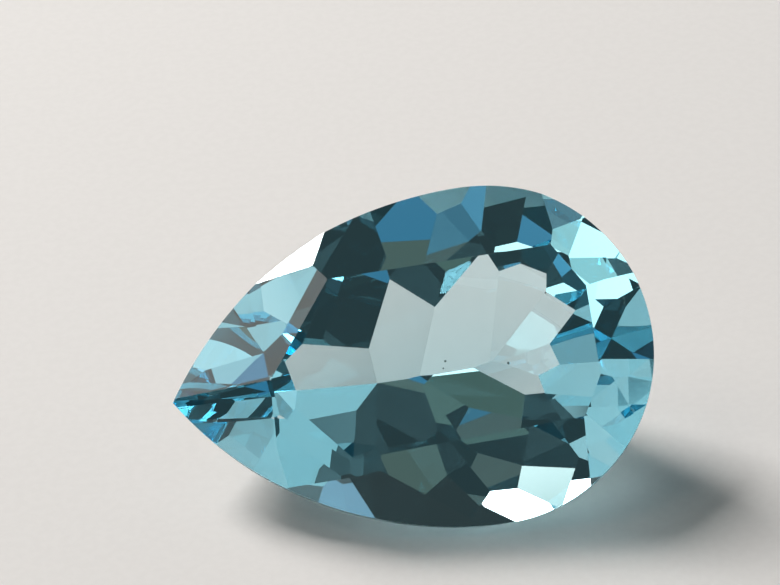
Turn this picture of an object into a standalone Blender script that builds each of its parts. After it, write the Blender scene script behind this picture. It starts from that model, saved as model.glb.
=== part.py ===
# A loose pear cut topaz: one transparent stone with a flat table, a low crown,
# a thin girdle wall and a pavilion whose main facets meet along a short keel.
# It lies on one of its own pavilion facets, with the table leaning towards -y.
# The stone is cut in its own frame, in millimetres: x runs from the point (-) to
# the round head (+), y across the width with the far side at +, and z up along
# the table's normal. The girdle is at z = 0.
import math

import bmesh
import bpy
from mathutils import Matrix, Vector

MM = 0.001

# Outline of the girdle.
WIDTH = 14.15
POINT_REACH = 12.96
HEAD_REACH = 7.04
HEAD_STEPS = 72
SIDE_STEPS = 40

# Height of the table and depth of the rough stone below the girdle.
TABLE_HEIGHT = 1.57
ROUGH_DEPTH = 9.0

# Side of the girdle that a facet is cut on.
UP = 1
DOWN = -1

# Ways in which a facet falls away from an edge.
FAR = Vector((0, 1))
NEAR = Vector((0, -1))
HEAD = Vector((1, 0))
POINT = Vector((-1, 0))

# Corners of the table on each side, from the point to the head.
FAR_TABLE = [(-8.70, 0.05), (-6.15, 3.80), (3.45, 3.75), (4.60, 1.85)]
NEAR_TABLE = [(-8.55, -1.45), (-6.00, -3.75), (3.70, -3.45), (4.60, -1.85)]

# Bezels fall from one edge of the table: name, corners of that edge, slope in
# degrees, way.
BEZELS = [
    ("point_bezel", FAR_TABLE[0], NEAR_TABLE[0], 22.0, POINT),
    ("far_front_bezel", FAR_TABLE[0], FAR_TABLE[1], 25.5, FAR),
    ("far_side_bezel", FAR_TABLE[1], FAR_TABLE[2], 28.0, FAR),
    ("far_head_bezel", FAR_TABLE[2], FAR_TABLE[3], 35.5, FAR),
    ("head_bezel", FAR_TABLE[3], NEAR_TABLE[3], 35.5, HEAD),
    ("near_front_bezel", NEAR_TABLE[0], NEAR_TABLE[1], 28.0, NEAR),
    ("near_side_bezel", NEAR_TABLE[1], NEAR_TABLE[2], 25.5, NEAR),
    ("near_head_bezel", NEAR_TABLE[2], NEAR_TABLE[3], 35.0, NEAR),
]

# The other facets are given by three corners. A corner is a facet that is already
# cut and the corner's x and y, or RIM, an azimuth in degrees from the head and a
# height, for a corner on the outline.
RIM = "rim"

# Breaks: small crown facets between the bezels and the girdle.
BREAKS = [
    ("far_shoulder_break", [
        ("far_front_bezel", -8.80, 4.25),
        ("far_front_bezel", -6.30, 4.25),
        ("far_side_bezel", -5.70, 5.95),
    ]),
    ("far_head_break", [
        ("far_side_bezel", 3.45, 6.15),
        ("far_side_bezel", 3.65, 4.30),
        ("far_head_bezel", 5.00, 4.90),
    ]),
    ("far_end_break", [
        ("far_head_bezel", 5.85, 3.90),
        ("far_head_bezel", 5.55, 2.60),
        ("head_bezel", 6.55, 2.30),
    ]),
    ("far_front_break", [
        ("far_front_bezel", -8.80, 4.25),
        ("far_front_bezel", -9.00, 2.30),
        (RIM, 133.0, 0.10),
    ]),
    ("far_point_break", [
        ("far_front_bezel", -9.00, 2.30),
        ("far_front_bezel", -8.75, 0.20),
        (RIM, 143.0, 0.05),
    ]),
    ("near_shoulder_break", [
        ("near_front_bezel", -8.70, -4.30),
        ("near_front_bezel", -6.25, -4.40),
        ("near_side_bezel", -5.40, -6.05),
    ]),
    ("near_head_break", [
        ("near_side_bezel", 3.50, -6.20),
        ("near_side_bezel", 3.60, -4.40),
        ("near_head_bezel", 5.15, -4.80),
    ]),
    ("near_end_break", [
        ("near_head_bezel", 5.85, -3.85),
        ("near_head_bezel", 5.40, -2.80),
        ("head_bezel", 6.60, -2.10),
    ]),
    ("near_front_break", [
        ("near_front_bezel", -8.70, -4.30),
        ("near_front_bezel", -8.90, -2.80),
        (RIM, -133.0, 0.10),
    ]),
    ("near_point_break", [
        ("near_front_bezel", -8.90, -2.80),
        ("near_front_bezel", -8.80, -1.55),
        (RIM, -143.0, 0.05),
    ]),
]

# Keel: the corners at the bottom in which the mains of both sides meet. It is
# dressed with one small facet that takes off its middle corner on the near side.
KEEL_POINT = Vector((-4.60, 0, -6.80))
KEEL_MIDDLE = Vector((-2.80, 0, -7.05))
KEEL_HEAD = Vector((0.20, 0, -6.60))
KEEL_DRESSING = [KEEL_MIDDLE.lerp(KEEL_POINT, 0.28), KEEL_MIDDLE.lerp(KEEL_HEAD, 0.20)]

# Facets that share an edge on the keel: name, ends of the edge, slope, way.
EDGE_MAINS = [
    ("far_main_2", KEEL_POINT, KEEL_MIDDLE, 42.0, FAR),
    ("far_main_3", KEEL_MIDDLE, KEEL_HEAD, 38.0, FAR),
    ("near_main_2", KEEL_POINT, KEEL_MIDDLE, 43.5, NEAR),
    ("near_main_3", KEEL_MIDDLE, KEEL_HEAD, 39.5, NEAR),
    ("keel_facet", *KEEL_DRESSING, 33.0, NEAR),
]

# Mains that touch the keel in one corner: name, corner, azimuth, slope.
CORNER_MAINS = [
    ("far_main_1", KEEL_POINT, 110.0, 43.0),
    ("far_main_4", KEEL_HEAD, 55.0, 39.5),
    ("far_main_5", KEEL_HEAD, 30.5, 39.0),
    ("head_main", KEEL_HEAD, 4.0, 36.5),
    ("near_main_4", KEEL_HEAD.lerp(KEEL_MIDDLE, 0.23), -53.0, 33.0),
    ("near_main_1", KEEL_POINT, -113.0, 44.5),
]

# Pavilion facets between the mains and the girdle, by three corners each.
RIM_FACETS = [
    ("far_point_main", [("far_main_1", -8.25, 1.30), ("far_main_1", -8.00, 0.10), (RIM, 139.0, -0.80)]),
    ("near_point_main", [
        ("near_main_1", -8.25, -1.30), ("near_main_1", -8.00, -0.10), (RIM, -139.0, -0.50)]),
    ("far_rim_1", [("far_main_1", -8.25, 1.30), ("far_main_1", -7.40, 1.90), (RIM, 114.0, -0.60)]),
    ("far_rim_2", [("far_main_1", -7.40, 1.90), ("far_main_1", -4.70, 1.40), ("far_main_2", -3.35, 3.95)]),
    ("far_rim_3", [("far_main_2", -3.35, 3.95), ("far_main_2", -1.70, 2.65), ("far_main_3", 0.75, 4.55)]),
    ("far_rim_4", [("far_main_3", 0.75, 4.55), ("far_main_4", 2.15, 3.70), (RIM, 66.0, -0.35)]),
    ("far_rim_5", [("far_main_4", 2.15, 3.70), ("far_main_4", 3.15, 3.10), (RIM, 56.0, -0.25)]),
    ("far_rim_6", [("far_main_4", 3.15, 3.10), ("far_main_5", 4.10, 1.40), (RIM, 28.0, -0.30)]),
    ("far_rim_7", [("far_main_5", 4.10, 1.40), ("far_main_5", 2.55, 0.05), ("head_main", 3.10, -0.65)]),
    ("near_rim_7", [("head_main", 3.10, -0.65), ("head_main", 2.15, -0.90), ("near_main_4", 2.30, -1.70)]),
    ("near_rim_4", [("near_main_4", 2.30, -1.70), ("near_main_4", 1.25, -1.60), (RIM, -66.0, -0.40)]),
]

# Steeper ones on the near side: name, azimuth, slope and the height at which they
# reach the outline.
STEEP_RIMS = [
    ("near_rim_6", -43.0, 46.5, -0.30),
    ("near_rim_5", -60.0, 47.5, -0.25),
    ("near_rim_3", -84.0, 48.0, -0.25),
    ("near_rim_2", -106.0, 49.5, -0.25),
    ("near_rim_1", -119.0, 51.0, -0.40),
]

REST_FACET = "near_main_2"

# Vertices closer than this are one corner.
WELD = 0.004

STONE_COLOUR = (0.36, 0.76, 0.86, 1.0)
STONE_IOR = 1.62


def outline_points():
    """Girdle outline, counter-clockwise: half an ellipse for the head, an arc for each side."""
    half = WIDTH / 2
    points = []
    for step in range(HEAD_STEPS + 1):
        angle = math.pi * (step / HEAD_STEPS - 0.5)
        points.append(Vector((HEAD_REACH * math.cos(angle), half * math.sin(angle))))
    radius = (POINT_REACH**2 + half**2) / WIDTH
    sweep = math.asin(POINT_REACH / radius)
    side = []
    for step in range(1, SIDE_STEPS):
        angle = sweep * step / SIDE_STEPS
        side.append(Vector((-radius * math.sin(angle), half - radius * (1 - math.cos(angle)))))
    points += side
    points.append(Vector((-POINT_REACH, 0.0)))
    points += [Vector((point.x, -point.y)) for point in reversed(side)]
    return points


def rough_stone(outline):
    """A straight prism on the outline, from the bottom of the rough up to the table."""
    stone = bmesh.new()
    floor = [stone.verts.new((point.x, point.y, -ROUGH_DEPTH)) for point in outline]
    base = stone.faces.new(floor)
    raised = bmesh.ops.extrude_face_region(stone, geom=[base])["geom"]
    top = [item for item in raised if isinstance(item, bmesh.types.BMVert)]
    bmesh.ops.translate(stone, verts=top, vec=(0, 0, ROUGH_DEPTH + TABLE_HEIGHT))
    bmesh.ops.recalc_face_normals(stone, faces=stone.faces)
    return stone


def facet_at(side, corner, azimuth, slope):
    """A plane, as a point and an outward normal, through a corner."""
    turn = math.radians(azimuth)
    tilt = math.radians(slope)
    across = math.sin(tilt)
    return corner, Vector((across * math.cos(turn), across * math.sin(turn), side * math.cos(tilt)))


def facet_from_edge(side, start, end, slope, way):
    """The plane of that slope that holds the edge and falls away from it in the way given."""
    edge = end - start
    along = edge.to_2d().normalized()
    across = Vector((-along.y, along.x))
    if across.dot(way) < 0:
        across.negate()
    tilt = math.radians(slope)
    share = -side * edge.z / (edge.to_2d().length * math.tan(tilt))
    flat = along * share + across * math.sqrt(1 - share**2)
    return start, Vector((flat.x * math.sin(tilt), flat.y * math.sin(tilt), side * math.cos(tilt)))


def corner_on(facets, outline, corner):
    """The corner in space, on the facet or on the outline that it names."""
    if corner[0] == RIM:
        turn = math.radians(corner[1])
        across = Vector((math.cos(turn), math.sin(turn)))
        furthest = max(outline, key=across.dot)
        return Vector((furthest.x, furthest.y, corner[2]))
    on_plane, normal = facets[corner[0]]
    place = Vector((corner[1], corner[2], 0))
    return place + Vector((0, 0, (on_plane - place).dot(normal) / normal.z))


def facet_through(side, corners):
    first, second, third = corners
    normal = (second - first).cross(third - first).normalized()
    if normal.z * side < 0:
        normal.negate()
    return first, normal


def cutting_sheet(outline):
    """Every facet's plane by its name, each worked out from those before it."""
    facets = {}
    for name, start, end, slope, way in BEZELS:
        edge = [Vector((corner[0], corner[1], TABLE_HEIGHT)) for corner in (start, end)]
        facets[name] = facet_from_edge(UP, *edge, slope, way)
    for name, start, end, slope, way in EDGE_MAINS:
        facets[name] = facet_from_edge(DOWN, start, end, slope, way)
    for name, corner, azimuth, slope in CORNER_MAINS:
        facets[name] = facet_at(DOWN, corner, azimuth, slope)
    for side, group in ((UP, BREAKS), (DOWN, RIM_FACETS)):
        for name, corners in group:
            facets[name] = facet_through(side, [corner_on(facets, outline, corner) for corner in corners])
    for name, azimuth, slope, height in STEEP_RIMS:
        facets[name] = facet_at(DOWN, corner_on(facets, outline, (RIM, azimuth, height)), azimuth, slope)
    return facets


def grind(stone, on_plane, normal):
    """Takes off all that lies beyond the plane and closes the stone with one flat facet."""
    geometry = stone.verts[:] + stone.edges[:] + stone.faces[:]
    cut = bmesh.ops.bisect_plane(
        stone, geom=geometry, dist=WELD / 4, plane_co=on_plane, plane_no=normal, clear_outer=True
    )["geom_cut"]
    rim = [item for item in cut if isinstance(item, bmesh.types.BMEdge)]
    if rim:
        bmesh.ops.contextual_create(stone, geom=rim)


def resting_frame(rest_normal):
    """Turns the stone onto its resting facet, with the long axis over +x."""
    up = -rest_normal
    along = Vector((1, 0, 0))
    ahead = (along - up * along.dot(up)).normalized()
    return Matrix((ahead, up.cross(ahead), up)).to_4x4()


def stone_material():
    material = bpy.data.materials.new("topaz")
    material.use_nodes = True
    shader = material.node_tree.nodes["Principled BSDF"]
    shader.inputs["Base Color"].default_value = STONE_COLOUR
    shader.inputs["Roughness"].default_value = 0.0
    shader.inputs["IOR"].default_value = STONE_IOR
    shader.inputs["Transmission Weight"].default_value = 1.0
    return material


def build():
    for item in list(bpy.data.objects):
        bpy.data.objects.remove(item, do_unlink=True)
    outline = outline_points()
    facets = cutting_sheet(outline)
    stone = rough_stone(outline)
    for on_plane, normal in facets.values():
        grind(stone, on_plane, normal)
    bmesh.ops.remove_doubles(stone, verts=stone.verts, dist=WELD)
    stone.transform(resting_frame(facets[REST_FACET][1]))
    low = Vector([min(vert.co[axis] for vert in stone.verts) for axis in range(3)])
    high = Vector([max(vert.co[axis] for vert in stone.verts) for axis in range(3)])
    middle = Vector(((low.x + high.x) / 2, (low.y + high.y) / 2, low.z))
    bmesh.ops.translate(stone, verts=stone.verts, vec=-middle)
    stone.transform(Matrix.Scale(MM, 4))
    bmesh.ops.recalc_face_normals(stone, faces=stone.faces)
    mesh = bpy.data.meshes.new("faceted_stone")
    stone.to_mesh(mesh)
    stone.free()
    body = bpy.data.objects.new("faceted_stone", mesh)
    body.data.materials.append(stone_material())
    collection = bpy.data.collections.new("pear_cut_topaz")
    bpy.context.scene.collection.children.link(collection)
    collection.objects.link(body)


build()
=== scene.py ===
import math

import bmesh
import bpy
from mathutils import Matrix, Vector


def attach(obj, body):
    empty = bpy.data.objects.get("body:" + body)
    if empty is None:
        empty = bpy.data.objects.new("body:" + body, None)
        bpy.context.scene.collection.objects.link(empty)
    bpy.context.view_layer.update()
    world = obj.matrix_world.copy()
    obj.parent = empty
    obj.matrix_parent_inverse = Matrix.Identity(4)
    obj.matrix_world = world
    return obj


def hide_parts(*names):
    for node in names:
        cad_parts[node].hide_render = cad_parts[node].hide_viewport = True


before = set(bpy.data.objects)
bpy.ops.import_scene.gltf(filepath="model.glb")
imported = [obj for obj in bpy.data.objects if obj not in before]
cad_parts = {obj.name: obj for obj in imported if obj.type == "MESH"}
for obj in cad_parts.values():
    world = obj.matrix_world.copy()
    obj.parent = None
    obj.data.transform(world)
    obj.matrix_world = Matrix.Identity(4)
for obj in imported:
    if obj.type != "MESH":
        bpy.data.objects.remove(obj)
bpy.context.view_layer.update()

mm = 0.001


# A node socket that can be used in sums, so that shader maths reads as maths.
class Wire:
    def __init__(self, net, socket):
        self.net = net
        self.socket = socket

    def maths(self, operation, first, second):
        return self.net.node("ShaderNodeMath", {"operation": operation}, {0: first, 1: second})

    def __add__(self, other):
        return self.maths("ADD", self, other)

    def __radd__(self, other):
        return self.maths("ADD", other, self)

    def __rsub__(self, other):
        return self.maths("SUBTRACT", other, self)

    def __mul__(self, other):
        return self.maths("MULTIPLY", self, other)

    def __rmul__(self, other):
        return self.maths("MULTIPLY", other, self)

    # 0 at low, 1 at high, smooth in between
    def step(self, low, high):
        return self.net.node("ShaderNodeMapRange", {"interpolation_type": "SMOOTHSTEP"},
                             {"Value": self, "From Min": low, "From Max": high})


# One material's nodes. node() sets a node's settings first, then its sockets.
class Net:
    def __init__(self, name):
        self.material = bpy.data.materials.new(name)
        self.material.use_nodes = True
        self.tree = self.material.node_tree
        self.tree.nodes.clear()

    def node(self, kind, settings=None, inputs=None, output=0):
        made = self.tree.nodes.new(kind)
        for key, value in (settings or {}).items():
            setattr(made, key, value)
        for key, value in (inputs or {}).items():
            if isinstance(value, Wire):
                self.tree.links.new(value.socket, made.inputs[key])
            else:
                made.inputs[key].default_value = value
        return Wire(self, made.outputs[output]) if made.outputs else None

    # where the surface is, in metres from the part's origin
    def place(self):
        return self.node("ShaderNodeTexCoord", output="Object")

    # a face mask that the mesh carries
    def mask(self, name):
        return self.node("ShaderNodeAttribute", {"attribute_name": name}, output="Fac")

    def noise(self, place, scale, detail):
        return self.node("ShaderNodeTexNoise", None, {"Vector": place, "Scale": scale, "Detail": detail})

    def stretched(self, place, scale):
        return self.node("ShaderNodeMapping", None, {"Vector": place, "Scale": scale})

    def distance(self, place, point):
        return self.node("ShaderNodeVectorMath", {"operation": "DISTANCE"},
                         {0: place, 1: point}, output="Value")

    def mixed(self, factor, first, second):
        return self.node("ShaderNodeMix", {"data_type": "RGBA"},
                         {0: factor, 6: first, 7: second}, output=2)


# How the stone was cut, which tells where it lies in its resting box.
cutSizes = {
    "pointReach": 12.96 * mm,      # from the middle of the girdle to the point
    "tableHeight": 1.57 * mm,      # from the girdle up to the table
    "mergeWithin": 0.0005 * mm,    # corners closer than this are one corner
    "flatWithin": 0.2,             # degrees between two triangles of one facet
    "tableUp": 0.5,                # the table's normal leans up more than this
}


# A CAD node's mesh is loose triangles: the copy is whole, with one face for each facet.
def mergedCopy(node):
    mesh = bmesh.new()
    mesh.from_mesh(node.data)
    bmesh.ops.remove_doubles(mesh, verts=mesh.verts, dist=cutSizes["mergeWithin"])
    bmesh.ops.dissolve_limit(mesh, angle_limit=math.radians(cutSizes["flatWithin"]),
                             verts=mesh.verts, edges=mesh.edges)
    return mesh


# Directions to the head, to the far side and up from the table, and the girdle's middle.
def cutFrame(mesh):
    facingUp = [face for face in mesh.faces if face.normal.z > cutSizes["tableUp"]]
    table = max(facingUp, key=lambda face: face.calc_area())
    upward = table.normal.copy()
    ahead = Vector((upward.z, 0.0, -upward.x)).normalized()
    aside = upward.cross(ahead)
    point = min((vert.co for vert in mesh.verts), key=ahead.dot)
    middle = point + ahead * cutSizes["pointReach"]
    height = table.calc_center_median().dot(upward) - cutSizes["tableHeight"]
    middle += upward * (height - middle.dot(upward))
    return ahead, aside, upward, middle


facets = mergedCopy(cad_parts["faceted_stone"])
ahead, aside, upward, girdleMiddle = cutFrame(facets)
print("stone read:", len(facets.faces), "faces, table normal", [round(part, 3) for part in upward])

stoneShape = {
    "edgeWear": 0.014 * mm,        # width of the rubbed edge between two facets
    "sharpFrom": 4.0,              # degrees between two faces from which their edge is rubbed
    "wallLean": 0.08,              # a face is girdle wall if its normal leans up or down less
    "tableLean": 0.999,            # a face is the table if its normal leans up more
}
stoneFinish = {
    "ior": 1.62,
    "bodyColour": (0.02, 0.79, 0.95, 1.0),
    "bodyDensity": 50.0,
    "edgeRub": 0.22,               # roughness of the rubbed edges
    "wallFrost": 0.35,             # roughness of the unpolished girdle
    "frostLeast": 0.7,             # its smallest share of that, and how far clouds add to it
    "frostCloud": 0.6,
    "cloudScale": 900.0,
    "cloudDetail": 3.0,
    "polishLines": 0.035,          # roughness of the finest lines left on the table
    "lineGrain": (260.0, 5200.0, 5200.0),
    "lineDetail": 2.0,
    "lineFrom": 0.56,
    "lineTo": 0.74,
    "clear": (1.0, 1.0, 1.0, 1.0),
    "speckColour": (0.03, 0.035, 0.03, 1.0),
    "speckCore": 0.55,             # share of a speck's radius that is fully dark
}
# dark specks on the table: along the length and across from the girdle's middle, and radius
specks = [
    (-1.55 * mm, -0.33 * mm, 0.065 * mm),
    (-1.68 * mm, -0.61 * mm, 0.045 * mm),
    (0.97 * mm, -0.82 * mm, 0.075 * mm),
    (2.92 * mm, 1.81 * mm, 0.050 * mm),
]


# Every edge between two facets is rubbed off, and each face says what it is.
def cutStone(mesh):
    wall = mesh.faces.layers.float.new("wall")
    worn = mesh.faces.layers.float.new("worn")
    table = mesh.faces.layers.float.new("table")
    for face in mesh.faces:
        lean = face.normal.dot(upward)
        face[wall] = float(abs(lean) < stoneShape["wallLean"])
        face[table] = float(lean > stoneShape["tableLean"])
    limit = math.radians(stoneShape["sharpFrom"])
    rubbed = [edge for edge in mesh.edges if edge.calc_face_angle() > limit]
    made = bmesh.ops.bevel(mesh, geom=rubbed, offset=stoneShape["edgeWear"] / 2,
                           offset_type="OFFSET", segments=1, profile=0.5,
                           affect="EDGES", clamp_overlap=True)
    for face in made["faces"]:
        face[wall] = 0.0
        face[table] = 0.0
        face[worn] = 1.0
    for face in mesh.faces:
        face.smooth = face[wall] > 0.5
    data = bpy.data.meshes.new("topazStone")
    mesh.to_mesh(data)
    mesh.free()
    piece = bpy.data.objects.new("topazStone", data)
    bpy.context.scene.collection.objects.link(piece)
    return piece


def speckMask(net, place):
    mask = 0.0
    for along, across, radius in specks:
        point = girdleMiddle + ahead * along + aside * across + upward * cutSizes["tableHeight"]
        edge = net.distance(place, point).step(stoneFinish["speckCore"] * radius, radius)
        mask = mask + (1.0 - edge)
    return mask


# polished facets, with a frosted girdle, duller edges and faint lines on the table
def stoneRoughness(net, place):
    cloud = net.noise(place, stoneFinish["cloudScale"], stoneFinish["cloudDetail"])
    uneven = stoneFinish["frostLeast"] + stoneFinish["frostCloud"] * cloud
    frost = net.mask("wall") * uneven * stoneFinish["wallFrost"]
    rub = net.mask("worn") * stoneFinish["edgeRub"]
    grain = net.noise(net.stretched(place, stoneFinish["lineGrain"]), 1.0, stoneFinish["lineDetail"])
    lines = grain.step(stoneFinish["lineFrom"], stoneFinish["lineTo"])
    polish = net.mask("table") * lines * stoneFinish["polishLines"]
    return frost + rub + polish


def stoneMaterial():
    net = Net("topazCrystal")
    place = net.place()
    colour = net.mixed(speckMask(net, place), stoneFinish["clear"], stoneFinish["speckColour"])
    shader = net.node("ShaderNodeBsdfPrincipled", None, {
        "Base Color": colour,
        "Roughness": stoneRoughness(net, place),
        "IOR": stoneFinish["ior"],
        "Transmission Weight": 1.0,
    })
    body = net.node("ShaderNodeVolumeAbsorption", None, {
        "Color": stoneFinish["bodyColour"],
        "Density": stoneFinish["bodyDensity"],
    })
    net.node("ShaderNodeOutputMaterial", None, {"Surface": shader, "Volume": body})
    return net.material


stone = cutStone(facets)
stone.data.materials.append(stoneMaterial())
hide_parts("faceted_stone")
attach(stone, "root")
print("stone cut:", len(stone.data.polygons), "faces,", len(specks), "specks")

floorCard = {
    "size": 1.2,
    "gap": 0.01 * mm,              # air under the facet that the stone lies on
    "paleColour": (0.80, 0.775, 0.755, 1.0),
    "darkColour": (0.785, 0.76, 0.74, 1.0),
    "roughness": 0.9,
    "grainScale": 2600.0,
    "grainDetail": 4.0,
    "grainFrom": 0.35,
    "grainTo": 0.65,
    "bumpStrength": 0.08,
    "bumpHeight": 0.02 * mm,
}


def floorMaterial():
    net = Net("floorCard")
    grain = net.noise(net.place(), floorCard["grainScale"], floorCard["grainDetail"])
    pale = grain.step(floorCard["grainFrom"], floorCard["grainTo"])
    bump = net.node("ShaderNodeBump", None, {
        "Strength": floorCard["bumpStrength"],
        "Distance": floorCard["bumpHeight"],
        "Height": grain,
    })
    shader = net.node("ShaderNodeBsdfPrincipled", None, {
        "Base Color": net.mixed(pale, floorCard["darkColour"], floorCard["paleColour"]),
        "Roughness": floorCard["roughness"],
        "Normal": bump,
    })
    net.node("ShaderNodeOutputMaterial", None, {"Surface": shader})
    return net.material


def makeFloor():
    mesh = bmesh.new()
    bmesh.ops.create_grid(mesh, x_segments=1, y_segments=1, size=floorCard["size"] / 2)
    bmesh.ops.translate(mesh, verts=mesh.verts, vec=(0.0, 0.0, -floorCard["gap"]))
    data = bpy.data.meshes.new("floor")
    mesh.to_mesh(data)
    mesh.free()
    floor = bpy.data.objects.new("floor", data)
    bpy.context.scene.collection.objects.link(floor)
    data.materials.append(floorMaterial())


# A window from the left behind, a wide soft light from the left, and dim tinted cards
# that the facets look toward. Azimuth from +y towards +x and height above the horizon are in
# degrees, width and tall in metres, glow in watts per square metre and steradian.
lamps = [
    {"name": "windowLight", "azimuth": -41.0, "height": 41.0,
     "width": 0.21, "tall": 0.24, "glow": 27.0, "colour": (1.0, 0.98, 0.96)},
    {"name": "skyLight", "azimuth": -81.0, "height": 52.0,
     "width": 0.23, "tall": 0.25, "glow": 2.0, "colour": (1.0, 0.92, 0.84)},
    {"name": "headCard", "azimuth": -88.0, "height": 21.0,
     "width": 0.13, "tall": 0.12, "glow": 0.8, "colour": (1.0, 1.0, 0.90)},
    {"name": "leftCard", "azimuth": -92.0, "height": 37.0,
     "width": 0.10, "tall": 0.10, "glow": 0.22, "colour": (0.8, 0.9, 1.0)},
    {"name": "highCard", "azimuth": -79.0, "height": 74.0,
     "width": 0.12, "tall": 0.09, "glow": 0.42, "colour": (1.0, 1.0, 1.0)},
    {"name": "rightCard", "azimuth": 86.0, "height": 14.0,
     "width": 0.24, "tall": 0.12, "glow": 0.9, "colour": (1.0, 0.92, 0.88)},
    {"name": "zenithCard", "azimuth": 105.0, "height": 71.0,
     "width": 0.12, "tall": 0.12, "glow": 0.6, "colour": (1.0, 1.0, 1.0)},
    {"name": "warmCard", "azimuth": 149.0, "height": 46.0,
     "width": 0.20, "tall": 0.17, "glow": 0.12, "colour": (1.0, 0.86, 0.62)},
    {"name": "blueCard", "azimuth": 155.0, "height": 68.0,
     "width": 0.34, "tall": 0.17, "glow": 0.32, "colour": (0.16, 0.60, 0.95)},
    {"name": "coolCard", "azimuth": -150.0, "height": 50.0,
     "width": 0.09, "tall": 0.12, "glow": 0.22, "colour": (0.30, 0.72, 1.0)},
    {"name": "leftBlueCard", "azimuth": -127.0, "height": 41.0,
     "width": 0.10, "tall": 0.08, "glow": 0.36, "colour": (0.25, 0.68, 1.0)},
    {"name": "oliveCard", "azimuth": -121.0, "height": 53.0,
     "width": 0.08, "tall": 0.08, "glow": 0.10, "colour": (0.95, 1.0, 0.70)},
    {"name": "frontCard", "azimuth": -163.0, "height": 37.0,
     "width": 0.09, "tall": 0.09, "glow": 0.12, "colour": (1.0, 0.82, 0.66)},
    {"name": "frontHighCard", "azimuth": -158.0, "height": 65.0,
     "width": 0.10, "tall": 0.09, "glow": 0.12, "colour": (0.95, 1.0, 0.72)},
    {"name": "backCard", "azimuth": 38.0, "height": 29.0,
     "width": 0.18, "tall": 0.10, "glow": 0.46, "colour": (0.42, 0.75, 1.0)},
]
studio = {
    "lampDistance": 0.60,
    "roomColour": (0.043, 0.050, 0.050, 1.0),
    "lightBounces": 32,
}


def towards(azimuth, height):
    turn, rise = math.radians(azimuth), math.radians(height)
    level = math.cos(rise)
    return Vector((math.sin(turn) * level, math.cos(turn) * level, math.sin(rise)))


def makeLamp(lamp):
    data = bpy.data.lights.new(lamp["name"], "AREA")
    data.shape = "RECTANGLE"
    data.size = lamp["width"]
    data.size_y = lamp["tall"]
    data.energy = lamp["glow"] * math.pi * lamp["width"] * lamp["tall"]
    data.color = lamp["colour"]
    light = bpy.data.objects.new(lamp["name"], data)
    way = towards(lamp["azimuth"], lamp["height"])
    light.location = way * studio["lampDistance"]
    light.rotation_mode = "QUATERNION"
    light.rotation_quaternion = (-way).to_track_quat("-Z", "Y")
    light.visible_camera = False
    bpy.context.scene.collection.objects.link(light)


def makeRoom():
    scene = bpy.context.scene
    scene.world = bpy.data.worlds.new("room")
    scene.world.use_nodes = True
    scene.world.node_tree.nodes["Background"].inputs["Color"].default_value = studio["roomColour"]
    scene.view_settings.view_transform = "Standard"
    scene.cycles.max_bounces = studio["lightBounces"]
    scene.cycles.transmission_bounces = studio["lightBounces"]
    scene.cycles.glossy_bounces = studio["lightBounces"] // 2


viewpoint = {
    "aim": (-0.70 * mm, 1.68 * mm, 7.47 * mm),
    "azimuth": -2.51,              # degrees to the right of straight in front
    "height": 36.47,
    "roll": 2.93,
    "distance": 136.06 * mm,
    "lens": 152.3,
    "sensor": 36.0,
    "clipStart": 1.0 * mm,
    "clipEnd": 10.0,
}


def makeCamera():
    data = bpy.data.cameras.new("camera")
    data.sensor_width = viewpoint["sensor"]
    data.lens = viewpoint["lens"]
    data.clip_start = viewpoint["clipStart"]
    data.clip_end = viewpoint["clipEnd"]
    camera = bpy.data.objects.new("camera", data)
    back = towards(180.0 - viewpoint["azimuth"], viewpoint["height"])
    camera.location = Vector(viewpoint["aim"]) + back * viewpoint["distance"]
    level = (-back).to_track_quat("-Z", "Y").to_matrix()
    turned = level @ Matrix.Rotation(math.radians(-viewpoint["roll"]), 3, "Z")
    camera.rotation_mode = "QUATERNION"
    camera.rotation_quaternion = turned.to_quaternion()
    bpy.context.scene.collection.objects.link(camera)
    bpy.context.scene.camera = camera


makeFloor()
for lamp in lamps:
    makeLamp(lamp)
makeRoom()
makeCamera()
print("studio set:", len(lamps), "lamps")
